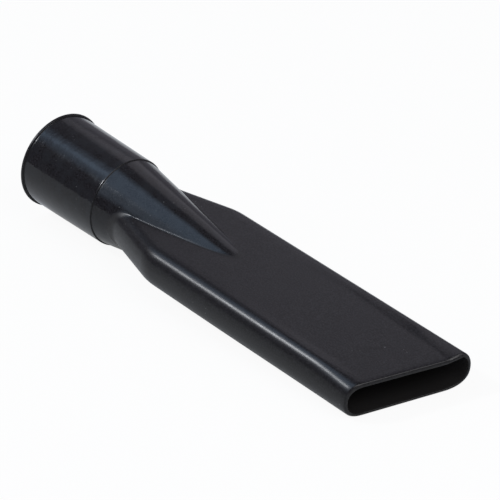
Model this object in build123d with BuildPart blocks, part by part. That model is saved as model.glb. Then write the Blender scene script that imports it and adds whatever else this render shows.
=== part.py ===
from build123d import *
import math
import os

os.makedirs("parts", exist_ok=True)

# Millimetres. X runs along the nozzle from the open end of the socket, Y across the flat blade, Z up.
bore_radius = 17.5
lead_in = 0.6
socket_wall = 2.1
socket_length = 44.0
socket_draft = 0.5
lip_proud = 1.0
lip_width = 1.4
lip_round = 0.45
step_drop = 0.8
step_round = 0.3
shell_wall = 1.7
crown_length = 68.0
crease_round = 0.9
blade_width = 51.9
blade_thick = 16.8
edge_round = 6.2
length = 205.9
shoulder_after_socket = 41.5
shoulder_round = 28.0
flare_angle = 15.6
face_sink = 1.7
dip_reach = 0.6
dip_depth = 0.9
mouth_skew = 15.7
mouth_lean = 4.0
rim_round = 0.7

# The socket is moulded with draft, and the neck behind it starts a small step lower.
socket_radius = bore_radius + socket_wall
open_radius = socket_radius + socket_draft
lip_radius = open_radius + lip_proud
neck_radius = socket_radius - step_drop

# The crown is the round cone that dies into the flat faces of the blade.
crown_tip_x = socket_length + crown_length
crown_slope = (neck_radius - blade_thick / 2) / crown_length
crown_end_x = crown_tip_x + blade_thick
crown_wall = shell_wall * math.hypot(1, crown_slope)

# The mouth is cut off askew: the far side reaches further than the near one, the top further than the bottom.
skew_slope = math.tan(math.radians(mouth_skew))
lean_slope = math.tan(math.radians(mouth_lean))
mouth_reach = blade_width / 2 * skew_slope + blade_thick / 2 * lean_slope

shoulder_x = socket_length + shoulder_after_socket
blade_start_x = socket_length + 2 * step_drop
straight_x = shoulder_x + shoulder_round
blade_end_x = length + mouth_reach + 2 * shell_wall


def blade_outline(inset):
    """Half of the blade seen from above, from its root inside the crown to where its sides run straight."""
    half = blade_width / 2 - inset
    # An inset of slanting sides moves the corner between them a little way along X.
    corner_x = shoulder_x + inset * math.tan(math.radians(flare_angle) / 2)
    start_half = half - (corner_x - blade_start_x) * math.tan(math.radians(flare_angle))
    return [(blade_start_x, start_half), (corner_x, half), (straight_x, half)]


def blade_section(inset, x, sink):
    """The rounded section of the blade at x, its upper face dipping by sink in the middle."""
    half = blade_width / 2 - inset
    high = blade_thick / 2 - inset
    bend = edge_round - inset
    flat_y = half - bend
    # The dip is broad: nearly flat across the middle, rising close to the rounded sides.
    dip = [(0, high - sink), (dip_reach * flat_y, high - dip_depth * sink), (flat_y, high)]
    with BuildSketch(Plane.YZ.offset(x)) as section:
        with BuildLine():
            Spline(*dip, tangents=[(1, 0), (1, 0)])
            JernArc((flat_y, high), tangent=(1, 0), radius=bend, arc_size=-90)
            Line((half, high - bend), (half, bend - high))
            JernArc((half, bend - high), tangent=(0, -1), radius=bend, arc_size=-90)
            Line((flat_y, -high), (0, -high))
            mirror(about=Plane.YZ)
        make_face()
    return section.sketch


def blade(inset):
    """The flat blade as a solid: shoulders of even thickness, then the straight run with its sunk upper face."""
    outline = blade_outline(inset)
    mirrored = [(x, -y) for x, y in reversed(outline)]
    end_sink = face_sink * (blade_end_x - straight_x) / (length - straight_x)
    with BuildPart() as body:
        with BuildSketch(Plane.XY):
            with BuildLine():
                Polyline(*outline, *mirrored, close=True)
            make_face()
            corners = [v for v in vertices() if abs(v.X - outline[1][0]) < shell_wall]
            fillet(corners, radius=shoulder_round - inset)
        extrude(amount=blade_thick / 2 - inset, both=True)
        sides = edges().filter_by(lambda e: abs(e.tangent_at(0.5).X) > 0.5)
        fillet(sides, radius=edge_round - inset)
        loft([blade_section(inset, straight_x, 0), blade_section(inset, blade_end_x, end_sink)], ruled=True)
    return body.part


outer_blade = blade(0)
inner_blade = blade(shell_wall)

with BuildPart() as nozzle_body:
    # The lip, the socket with its draft, the step and the crown are one turned shape.
    with BuildSketch(Plane.XZ):
        with BuildLine():
            Polyline(
                (0, 0),
                (0, lip_radius),
                (lip_width, lip_radius),
                (lip_width, open_radius),
                (socket_length, socket_radius),
                (socket_length, neck_radius),
                (crown_end_x, neck_radius - crown_slope * (crown_end_x - socket_length)),
                (crown_end_x, 0),
                close=True,
            )
        make_face()
    revolve(axis=Axis.X)
    rings = edges().filter_by(GeomType.CIRCLE)
    fillet(rings.filter_by(lambda e: e.radius > open_radius + lip_proud / 2), radius=lip_round)
    step_rings = edges().filter_by(GeomType.CIRCLE).filter_by_position(Axis.X, socket_length, socket_length)
    fillet(step_rings.sort_by(SortBy.RADIUS)[-1], radius=step_round)
    add(outer_blade)
    crease = edges(Select.NEW)
    fillet(crease, radius=crease_round)

    # The bore takes the tube up to a ledge, and behind it the shell keeps an even wall.
    with BuildSketch(Plane.XZ):
        with BuildLine():
            Polyline(
                (0, 0),
                (0, bore_radius + lead_in),
                (lead_in, bore_radius),
                (socket_length, bore_radius),
                (socket_length, neck_radius - crown_wall),
                (crown_end_x, neck_radius - crown_wall - crown_slope * (crown_end_x - socket_length)),
                (crown_end_x, 0),
                close=True,
            )
        make_face()
    revolve(axis=Axis.X, mode=Mode.SUBTRACT)
    add(inner_blade, mode=Mode.SUBTRACT)

    mouth = Plane((length, 0, 0), z_dir=(1, -skew_slope, -lean_slope))
    split(bisect_by=mouth, keep=Keep.BOTTOM)
    rim = faces().filter_by(mouth).sort_by(Axis.X)[-1]
    fillet(rim.outer_wire().edges(), radius=rim_round)

nozzle_body.part.label = "nozzle_body"
export_step(nozzle_body.part, "parts/nozzle_body.step")
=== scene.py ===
import math

import bpy
import numpy as np
from mathutils import Matrix, Vector


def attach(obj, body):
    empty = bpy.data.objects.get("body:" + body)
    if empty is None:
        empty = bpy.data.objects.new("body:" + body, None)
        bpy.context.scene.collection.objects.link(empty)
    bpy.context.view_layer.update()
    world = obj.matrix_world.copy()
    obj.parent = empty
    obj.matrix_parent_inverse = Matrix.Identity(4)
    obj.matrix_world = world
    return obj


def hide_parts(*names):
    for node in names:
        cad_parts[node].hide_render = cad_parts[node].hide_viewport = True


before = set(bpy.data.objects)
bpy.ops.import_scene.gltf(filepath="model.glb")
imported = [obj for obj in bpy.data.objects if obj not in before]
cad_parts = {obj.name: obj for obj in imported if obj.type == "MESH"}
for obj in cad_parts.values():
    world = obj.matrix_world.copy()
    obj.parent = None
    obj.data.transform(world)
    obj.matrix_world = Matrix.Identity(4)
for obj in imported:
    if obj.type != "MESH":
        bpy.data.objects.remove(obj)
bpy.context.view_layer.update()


# The nozzle is one injection moulding in black satin plastic: a round socket with a thin lip, a crown that
# runs out as a cone on each broad face, and a flat hollow blade whose mouth is cut off askew. Its skin is
# one closed net of rings, from the mouth back over the outside, round the lip and forward through the duct.
mm = 0.001
wall = 1.7
socket_length = 44.0
socket_radius = 19.52
neck_radius = 19.05
crown_tip_x = 112.0
blade_half = 25.94
blade_high = 8.4
mouth_x = 205.98


def ease(start, end, x):
    """0 up to start, 1 from end on, with a smooth change between them."""
    t = np.clip((x - start) / (end - start), 0.0, 1.0)
    return t * t * (3 - 2 * t)


# The crown narrows evenly from the neck to its tip on the blade's face.
crown_slope = (neck_radius - blade_high) / (crown_tip_x - socket_length)


def crown_radius(x):
    """The outside radius of the crown at x."""
    return neck_radius - crown_slope * (x - socket_length)


# The shoulders are the slanting sides by which the blade widens out of the crown.
shoulder_x = 85.5
shoulder_round = 28.0
flare = math.radians(15.6)


def half_width(x):
    """Half the blade's width at x: the slanting shoulder, its rounded bend, then the straight side."""
    tangent = shoulder_round * math.tan(flare / 2)
    straight_from = shoulder_x + tangent
    if x >= straight_from:
        return blade_half
    if x >= shoulder_x - tangent * math.cos(flare):
        return blade_half - shoulder_round + math.sqrt(shoulder_round**2 - (straight_from - x) ** 2)
    return blade_half - (shoulder_x - x) * math.tan(flare)


# The net's lines run up the side, round the corner, over the face, along both sides of the crease where the
# face meets the crown, and over the crown. Past its tip they spread out, and round the socket they are even.
side_points = 5
corner_points = 12
flat_points = 14
crown_points = 16
crease_line = 0.45
nose_x = 50.0
least_side = 0.5
least_crease = 1.5
least_turn = 0.05
spread_share = 0.45
spread_end_x = mouth_x - 40
even_start_x = socket_length - 2
even_end_x = 8.0


def quarter_angles(x, corner):
    """The net's angles over a quarter of the ring at x, with lines along the corner and along the crease."""
    half = half_width(max(x, nose_x))
    low = math.atan2(max(blade_high - corner, least_side), half)
    high = math.atan2(blade_high, half - corner)
    crease_y = math.sqrt(max(crown_radius(max(x, nose_x)) ** 2 - blade_high**2, least_crease**2))
    spread_y = spread_share * (half - corner) * ease(crown_tip_x, spread_end_x, x)
    crease = max(math.atan2(blade_high, max(crease_y, spread_y)), high + least_turn)
    beside = crease_line / neck_radius
    breaks = (0.0, low, high, crease - beside, crease, crease + beside, math.pi / 2)
    counts = (side_points, corner_points, flat_points, 1, 1, crown_points)
    spans = zip(breaks, breaks[1:], counts)
    runs = [np.linspace(start, end, count, endpoint=False) for start, end, count in spans]
    angles = np.concatenate([*runs, [math.pi / 2]])
    even = np.linspace(0, math.pi / 2, len(angles))
    return angles + (even - angles) * ease(even_start_x, even_end_x, x)


# The blade's sides are full curves, drawn a little tighter on the inside of the wall.
inner_tightening = 0.3
curve_points = 200


def blade_quarter(x, corner, fullness, inset):
    """A quarter of the blade's section, set in by inset: y and z from the side to the flat face's middle."""
    half = half_width(x) - inset
    high = blade_high - inset
    bend = corner - inner_tightening * inset
    turn = np.linspace(0, math.pi / 2, curve_points, endpoint=False)
    side_y = half - bend + bend * np.cos(turn) ** (2 / fullness)
    side_z = high * np.sin(turn) ** (2 / fullness)
    face_y = np.linspace(half - bend, 0, curve_points)
    face_z = np.full(curve_points, high)
    return np.concatenate([side_y, face_y]), np.concatenate([side_z, face_z])


def whole_ring(far, near, near_lower, far_lower):
    """A ring of points (y, z, polish) from its four quarters, each given from the side to the middle."""
    near_side = near[:0:-1] * (-1, 1, 1)
    near_underside = near_lower[:-1] * (-1, -1, 1)
    far_underside = far_lower[:0:-1] * (1, -1, 1)
    return np.concatenate([far[:-1], near_side, near_underside, far_underside])


# Towards the mouth the upper face sinks between a crest along each side, of which the near one runs out at
# the mouth, while the lower corners grow rounder, the roof thickens and the wall of the sides thins.
edge_round = 6.4
edge_fullness = 2.2
lower_fullness = 2.4
near_lower_round = 7.8
far_lower_round = 10.6
sink_start_x = 113.5
sink_lateness = 1.8
face_sink = 1.7
sink_tilt = 0.2
crest_start = 17.2
crest_top = 22.0
near_drop = 24.0
roof_extra = 0.7
mouth_wall = 1.3

# The crease is soft at the crown's nose and crisp further on. The crown is polished, while the crease and
# the inside are dull with dust.
crisp_x = 68.0
nose_blend = 1.8
crease_blend = 0.32
crown_margin = 0.8
crown_polish = 1.1
crease_dullness = 1.0
inside_polish = -1.0


def duct_ring(x, inset, radius):
    """The ring at x where a crown of that radius joins the blade, with its polish, dullest in the crease."""
    dip = max(x - sink_start_x, 0) / (mouth_x - sink_start_x)
    sunk = (face_sink + roof_extra * inset / wall) * dip**sink_lateness
    forward = ease(sink_start_x, mouth_x, x)
    near_corner = edge_round + (near_lower_round - edge_round) * forward
    far_corner = edge_round + (far_lower_round - edge_round) * forward
    near_crest = 1 - ease(mouth_x - near_drop, mouth_x, x)
    far = (edge_round, edge_fullness, sunk, sink_tilt, 1.0)
    near = (edge_round, edge_fullness, sunk, -sink_tilt, near_crest)
    near_lower = (near_corner, lower_fullness, 0.0, 0.0, 0.0)
    far_lower = (far_corner, lower_fullness, 0.0, 0.0, 0.0)
    blend = nose_blend + (crease_blend - nose_blend) * ease(nose_x, crisp_x, x)
    quarters = []
    for corner, fullness, sink, tilt, crest in (far, near, near_lower, far_lower):
        y, z = blade_quarter(x, corner, fullness, inset)
        depth = sink * (1 + tilt * y / blade_half) * (1 - crest * ease(crest_start, crest_top, y))
        z = z * (1 - depth / (blade_high - inset))
        angles = quarter_angles(x, corner)
        reach = np.interp(angles, np.arctan2(z, y), np.hypot(y, z))
        in_crease = np.clip(1 - np.abs(reach - radius) / blend, 0, 1)
        on_crown = np.clip((radius - reach) / crown_margin, 0, 1)
        finish = crown_polish * on_crown * (1 - in_crease) - crease_dullness * in_crease
        if inset >= mouth_wall:
            finish = np.full(len(angles), inside_polish)
        reach = np.maximum(reach, radius) + blend * in_crease * in_crease / 4
        quarters.append(np.column_stack([reach * np.cos(angles), reach * np.sin(angles), finish]))
    return whole_ring(*quarters)


def turned_ring(x, radius, finish):
    """A round ring of the socket at x with one polish all round."""
    angles = quarter_angles(x, edge_round)
    finishes = np.full(len(angles), finish)
    quarter = np.column_stack([radius * np.cos(angles), radius * np.sin(angles), finishes])
    return whole_ring(quarter, quarter, quarter, quarter)


arc_points = 6
worn_polish = -0.1


def turned_arc(x, radius, bend, start, end):
    """Points (x, radius, polish) of a small worn rounding about a centre, from start to end in degrees."""
    turns = np.radians(np.linspace(start, end, arc_points))
    return [(x + bend * math.cos(turn), radius + bend * math.sin(turn), worn_polish) for turn in turns]


# The mouth is cut off askew: its far side reaches further than its near one, and its top a little further
# than its bottom. The rings turn to lie along it between the blade's root and the mouth.
skew_slope = math.tan(math.radians(15.7))
lean_slope = math.tan(math.radians(2.2))
blade_root_x = crown_tip_x + 4
full_lean_x = mouth_x - 12
rings = []
polish = []


def lean_at(x):
    """The lean of the rings along the blade, from none at its root to the mouth's own."""
    return ease(blade_root_x, full_lean_x, x)


def lay_ring(x, ring, lean):
    """Adds a ring to the net; lean is how far it has turned to lie along the askew mouth."""
    y, z, finish = ring.T
    rings.append(np.column_stack([x + lean * (skew_slope * y + lean_slope * z), y, z]) * mm)
    polish.append(finish)


# The mouth's rim is well rounded outside and only just broken inside. The crown doesn't reach this far, so
# its radius here is one that stays inside the blade.
rim_round = 0.85
inner_rim_round = 0.25
no_crown = 1.0
rim_turns = np.radians(np.linspace(90, 0, arc_points))
for turn in rim_turns:
    inset = rim_round * (1 - math.cos(turn))
    x = mouth_x - rim_round * (1 - math.sin(turn))
    lay_ring(x, duct_ring(mouth_x, inset, no_crown), lean=1.0)

# The outside of the blade and the crown, back to the neck.
rim_gap = 2.5
crown_front_x = crown_tip_x + 3
neck_x = socket_length + 0.7
blade_rings = 34
crown_rings = 104
blade_stations = np.linspace(mouth_x - rim_gap, blade_root_x, blade_rings)
crown_stations = np.linspace(crown_front_x, neck_x, crown_rings)
for x in np.concatenate([blade_stations, crown_stations]):
    lay_ring(x, duct_ring(x, 0.0, crown_radius(x)), lean_at(x))

# The socket stands a small step above the neck and is drafted, widening to the lip round its open end.
step_round = 0.3
step_foot = 0.15
open_radius = 20.35
lip_radius = 21.09
lip_width = 1.2
lip_round = 0.4
lip_foot = 0.3
socket_polish = 1.15
socket_rings = 16
outline = turned_arc(socket_length + step_foot, neck_radius + step_foot, step_foot, 270, 180)
outline += turned_arc(socket_length - step_round, socket_radius - step_round, step_round, 0, 90)
taper = (open_radius - socket_radius) / (socket_length - lip_width)
drafted = np.linspace(socket_length - 2 * step_round, lip_width + 2 * lip_foot, socket_rings)
outline += [(x, socket_radius + taper * (socket_length - x), socket_polish) for x in drafted]
outline += turned_arc(lip_width + lip_foot, open_radius + lip_foot, lip_foot, 270, 180)
outline += turned_arc(lip_width - lip_round, lip_radius - lip_round, lip_round, 0, 90)
outline += turned_arc(lip_round, lip_radius - lip_round, lip_round, 90, 180)

# The bore has a small lead-in and runs to the ledge that stops the tube.
bore_radius = 17.5
lead_in = 0.6
bore_start_x = 2.0
bore_rings = 14
bore_stations = np.linspace(bore_start_x, socket_length, bore_rings)
outline += [(0, bore_radius + lead_in, worn_polish), (lead_in, bore_radius, worn_polish)]
outline += [(x, bore_radius, socket_polish) for x in bore_stations]
outline += [(socket_length, crown_radius(socket_length) - wall, socket_polish)]
for x, radius, finish in outline:
    lay_ring(x, turned_ring(x, radius, finish), lean=0.0)

# The duct follows the outside, set in by the wall, to the inner edge of the mouth's rim.
duct_rings = 48
duct_stations = np.linspace(neck_x, crown_front_x, duct_rings)
for x in np.concatenate([duct_stations, blade_stations[::-1]]):
    inset = wall + (mouth_wall - wall) * ease(sink_start_x, mouth_x, x)
    lay_ring(x, duct_ring(x, inset, crown_radius(x) - wall), lean_at(x))
for turn in rim_turns[::-1]:
    inset = mouth_wall - inner_rim_round * (1 - math.cos(turn))
    x = mouth_x - inner_rim_round * (1 - math.sin(turn))
    lay_ring(x, duct_ring(mouth_x, inset, no_crown), lean=1.0)

# The last ring joins the first again, so the net is closed both ways.
around = len(rings[0])
quads = []
for row in range(len(rings)):
    after = (row + 1) % len(rings)
    for point in range(around):
        beside = (point + 1) % around
        corners = ((row, point), (after, point), (after, beside), (row, beside))
        quads.append([ring * around + place for ring, place in corners])
skin = bpy.data.meshes.new("nozzle")
skin.from_pydata(np.concatenate(rings).tolist(), [], quads)
skin.shade_smooth()
skin.attributes.new("polish", "FLOAT", "POINT").data.foreach_set("value", np.concatenate(polish))
nozzle = bpy.data.objects.new("nozzle", skin)
bpy.context.scene.collection.objects.link(nozzle)


def fill(material, socket, value):
    """Sets a node's input, or links it where the value is another node's output."""
    if isinstance(value, bpy.types.NodeSocket):
        material.node_tree.links.new(value, socket)
    else:
        socket.default_value = value


def shader_node(material, kind, **inputs):
    """Adds a node to a material and fills its inputs by name."""
    node = material.node_tree.nodes.new(kind)
    for name, value in inputs.items():
        fill(material, node.inputs[name.replace("_", " ")], value)
    return node


def reckon(material, operation, *values, clamp=False):
    """What a sum gives for numbers or other nodes' outputs, held between 0 and 1 by clamp."""
    node = shader_node(material, "ShaderNodeMath")
    node.operation = operation
    node.use_clamp = clamp
    for socket, value in zip(node.inputs, values):
        fill(material, socket, value)
    return node.outputs["Value"]


def grade(material, value, start=0.0, end=1.0, low=0.0, high=1.0, clamp=True):
    """Runs from low to high while the value runs from start to end, and no further with clamp."""
    node = shader_node(material, "ShaderNodeMapRange", Value=value, From_Min=start, From_Max=end)
    fill(material, node.inputs["To Min"], low)
    fill(material, node.inputs["To Max"], high)
    node.clamp = clamp
    return node.outputs["Result"]


def clouds(material, place, scale, detail, roughness=0.5):
    """An uneven pattern over the skin, finer for a larger scale."""
    node = shader_node(material, "ShaderNodeTexNoise", Vector=place, Scale=scale, Detail=detail)
    fill(material, node.inputs["Roughness"], roughness)
    return node.outputs["Fac"]


def coat(material, share, under, over):
    """One colour laid over another by a share of 0 to 1."""
    node = shader_node(material, "ShaderNodeMix")
    node.data_type = "RGBA"
    fill(material, node.inputs["Factor"], share)
    fill(material, node.inputs["A"], under)
    fill(material, node.inputs["B"], over)
    return node.outputs["Result"]


def relief(material, height, depth, strength, **under):
    """A fine relief in the skin, on top of the one given as Normal."""
    node = shader_node(material, "ShaderNodeBump", Height=height, Distance=depth, Strength=strength, **under)
    return node.outputs["Normal"]


deep_black = (0.0002, 0.0001, 0.0004, 1)
pale_black = (0.0110, 0.0104, 0.0116, 1)
haze_colour = (0.0068, 0.0073, 0.0084, 1)
dust_colour = (0.0105, 0.0098, 0.0096, 1)
mote_colour = (0.09, 0.09, 0.088, 1)
specular_level = 0.26
satin_roughness = 0.30
polished_roughness = 0.105
smear_roughness = 0.10
wave_depth = 0.08 * mm
grain_depth = 0.03 * mm
streak_depth = 0.03 * mm
streak_strength = 0.15
streak_scale = (60.0, 1300.0, 1300.0)


def satin_black_plastic():
    """Moulded black plastic: a fine satin grain, smears in the gloss, streaks of handling and some dust."""
    material = bpy.data.materials.new("satin_black_plastic")
    material.use_nodes = True
    shader = material.node_tree.nodes["Principled BSDF"].inputs
    shader["Specular IOR Level"].default_value = specular_level
    place = shader_node(material, "ShaderNodeTexCoord").outputs["Object"]
    turned = shader_node(material, "ShaderNodeAttribute")
    turned.attribute_name = "polish"
    polished = turned.outputs["Fac"]

    # The black has fine specks, a haze where it is polished, dust where it is dull, and a few motes.
    specks = clouds(material, place, scale=1700.0, detail=1.0)
    black = shader_node(material, "ShaderNodeValToRGB", Fac=specks)
    darkest, palest = black.color_ramp.elements
    darkest.position = 0.35
    darkest.color = deep_black
    palest.position = 0.75
    palest.color = pale_black
    haze = clouds(material, place, scale=190.0, detail=4.0, roughness=0.55)
    clouded = grade(material, haze, start=0.43, end=0.68)
    handled = reckon(material, "MULTIPLY", clouded, polished, clamp=True)
    hazed = coat(material, handled, black.outputs["Color"], haze_colour)
    dulled = grade(material, polished, start=0.0, end=-1.0)
    dusted = coat(material, dulled, hazed, dust_colour)
    motes = shader_node(material, "ShaderNodeTexVoronoi", Vector=place, Scale=330.0)
    tiny = grade(material, motes.outputs["Distance"], start=0.1, end=0.04)
    settled = clouds(material, place, scale=45.0, detail=2.0)
    few = reckon(material, "MULTIPLY", tiny, grade(material, settled, start=0.52, end=0.7))
    fill(material, shader["Base Color"], coat(material, few, dusted, mote_colour))

    # Polish makes it smoother, and smears vary that a little to either side.
    gloss = grade(material, polished, low=satin_roughness, high=polished_roughness, clamp=False)
    smears = clouds(material, place, scale=170.0, detail=4.0, roughness=0.6)
    smeared = reckon(material, "MULTIPLY_ADD", smears, smear_roughness, gloss)
    fill(material, shader["Roughness"], reckon(material, "SUBTRACT", smeared, smear_roughness / 2))

    # Slow waves show most where it is polished, the grain where it isn't, and streaks run along it all over.
    waves = clouds(material, place, scale=240.0, detail=5.0, roughness=0.6)
    swayed = relief(material, waves, wave_depth, grade(material, polished, low=0.2, high=1.0))
    grain = clouds(material, place, scale=2600.0, detail=2.0)
    tooth = grade(material, polished, low=0.5, high=0.1)
    grained = relief(material, grain, grain_depth, tooth, Normal=swayed)
    along = shader_node(material, "ShaderNodeMapping", Vector=place, Scale=streak_scale)
    streaks = clouds(material, along.outputs["Vector"], scale=1.0, detail=3.0)
    streaked = relief(material, streaks, streak_depth, streak_strength, Normal=grained)
    fill(material, shader["Normal"], streaked)
    return material


skin.materials.append(satin_black_plastic())
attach(nozzle, "root")
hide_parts("nozzle_body")


# The floor is a plain white sheet of matt studio paper. The nozzle lies on it, held up by the end of its
# socket and the mouth's lower edge, so the sheet slopes a little in the nozzle's own frame.
floor_half = 8.0
floor_gap = 0.2
floor_rise = (socket_radius - blade_high) / (mouth_x - socket_length)
floor_corners = []
for x, y in ((-1, -1), (1, -1), (1, 1), (-1, 1)):
    drop = floor_rise * (mouth_x * mm - x * floor_half + skew_slope * y * floor_half)
    floor_corners.append((x * floor_half, y * floor_half, -(blade_high + floor_gap) * mm - drop))
floor_mesh = bpy.data.meshes.new("studio_floor")
floor_mesh.from_pydata(floor_corners, [], [(0, 1, 2, 3)])
floor = bpy.data.objects.new("studio_floor", floor_mesh)
bpy.context.scene.collection.objects.link(floor)

paper_colour = (0.62, 0.62, 0.60, 1)
white_to_the_eye = 0.93
white_in_gloss = 0.2


def white_sheet():
    """Matt paper: white to the eye with the nozzle's faint shadow, and less white in the plastic's gloss."""
    material = bpy.data.materials.new("white_sheet")
    material.use_nodes = True
    ray = shader_node(material, "ShaderNodeLightPath").outputs
    direct = reckon(material, "MULTIPLY_ADD", ray["Is Glossy Ray"], white_in_gloss, ray["Is Camera Ray"])
    seen = reckon(material, "ADD", direct, ray["Is Transmission Ray"], clamp=True)
    matt = shader_node(material, "ShaderNodeBsdfDiffuse", Color=paper_colour)
    glow = shader_node(material, "ShaderNodeEmission", Strength=1.0)
    sheet = shader_node(material, "ShaderNodeMixShader", Fac=grade(material, seen, high=white_to_the_eye))
    fill(material, sheet.inputs[1], matt.outputs["BSDF"])
    fill(material, sheet.inputs[2], glow.outputs["Emission"])
    fill(material, material.node_tree.nodes["Material Output"].inputs["Surface"], sheet.outputs["Shader"])
    return material


floor_mesh.materials.append(white_sheet())


# The studio is a dim grey room with round softboxes: a small key that draws the bright line along the near
# edge, a wide cool panel overhead, a lower one and a cool lamp to its two sides, a pale card behind the
# nozzle, and a bright panel before its mouth.
room_grey = (0.32, 0.31, 0.365, 1)
room = bpy.data.worlds.new("studio_room")
room.use_nodes = True
room.node_tree.nodes["Background"].inputs["Color"].default_value = room_grey
bpy.context.scene.world = room
lit_point = Vector((110, 0, 8)) * mm
lamp_gap = 0.02


def softbox(name, azimuth, elevation, distance, radius, brightness, colour):
    """A round lamp of a given brightness turned to the blade's middle, its azimuth counted from +X."""
    lamp = bpy.data.lights.new(name, "AREA")
    lamp.shape = "DISK"
    lamp.size = 2 * radius
    lamp.energy = brightness * (math.pi * radius) ** 2
    lamp.color = colour
    box = bpy.data.objects.new(name, lamp)
    bpy.context.scene.collection.objects.link(box)
    turn = math.radians(azimuth)
    rise = math.radians(elevation)
    away = Vector((math.cos(rise) * math.cos(turn), math.cos(rise) * math.sin(turn), math.sin(rise)))
    box.location = lit_point + away * distance
    box.rotation_mode = "QUATERNION"
    box.rotation_quaternion = away.to_track_quat("Z", "Y")


def soft_panel(name, azimuth, elevation, distance, radii, brightness, colour):
    """A panel that fades to its edge: lamps of falling size, each a little behind the one before."""
    for ring, radius in enumerate(radii):
        softbox(f"{name}_{ring}", azimuth, elevation, distance + lamp_gap * ring, radius, brightness, colour)


key_white = (0.97, 0.99, 1.03)
cool_blue = (0.66, 0.92, 1.26)
pale_blue = (0.72, 0.93, 1.2)
card_white = (1.0, 0.97, 1.07)
plain_white = (1.0, 1.0, 1.0)
wide_radii = (0.975, 0.89, 0.81, 0.73, 0.65, 0.54)
low_radii = (0.54, 0.44, 0.35, 0.25)
lamp_radii = (0.24, 0.17, 0.1)
card_radii = (0.41, 0.35, 0.29)
softbox("key_softbox", -136.3, 42.3, distance=2.5, radius=0.14, brightness=168, colour=key_white)
soft_panel("cool_panel", -146, 62, distance=2.0, radii=wide_radii, brightness=0.285, colour=cool_blue)
soft_panel("low_panel", -115, 36, distance=2.0, radii=low_radii, brightness=0.3, colour=pale_blue)
soft_panel("cool_lamp", -162, 48.5, distance=2.2, radii=lamp_radii, brightness=0.3, colour=cool_blue)
soft_panel("back_card", 125.5, 33.5, distance=1.3, radii=card_radii, brightness=0.18, colour=card_white)
softbox("front_panel", 2, 48, distance=1.2, radius=0.46, brightness=4.0, colour=plain_white)


# The camera stands in front of the mouth, to its near side and above it, at the photograph's viewing angle.
# Its lens is a long one, and it is rolled a little about its line of sight.
picture_side = 500
focal_pixels = 2330.0
film_width = 36
nearest_seen = 0.01
camera_distance = 0.92056
aim = Vector((103.1, 0, 0)) * mm
aim_right = 0.01066
aim_up = 0.00584
azimuth = math.radians(43.42)
elevation = math.radians(33.77)
roll = math.radians(2.0)
back = Vector((
    math.cos(azimuth) * math.cos(elevation),
    -math.sin(azimuth) * math.cos(elevation),
    math.sin(elevation),
))
level_right = Vector((math.sin(azimuth), math.cos(azimuth), 0))
level_up = back.cross(level_right)
right = math.cos(roll) * level_right + math.sin(roll) * level_up
up = math.cos(roll) * level_up - math.sin(roll) * level_right
lens = bpy.data.cameras.new("camera")
lens.sensor_width = film_width
lens.lens = film_width * focal_pixels / picture_side
lens.clip_start = nearest_seen
camera = bpy.data.objects.new("camera", lens)
bpy.context.scene.collection.objects.link(camera)
spot = aim + back * camera_distance + right * aim_right + up * aim_up
camera.matrix_world = Matrix.Translation(spot) @ Matrix((right, up, back)).transposed().to_4x4()
bpy.context.scene.camera = camera
bpy.context.scene.view_settings.view_transform = "Standard"
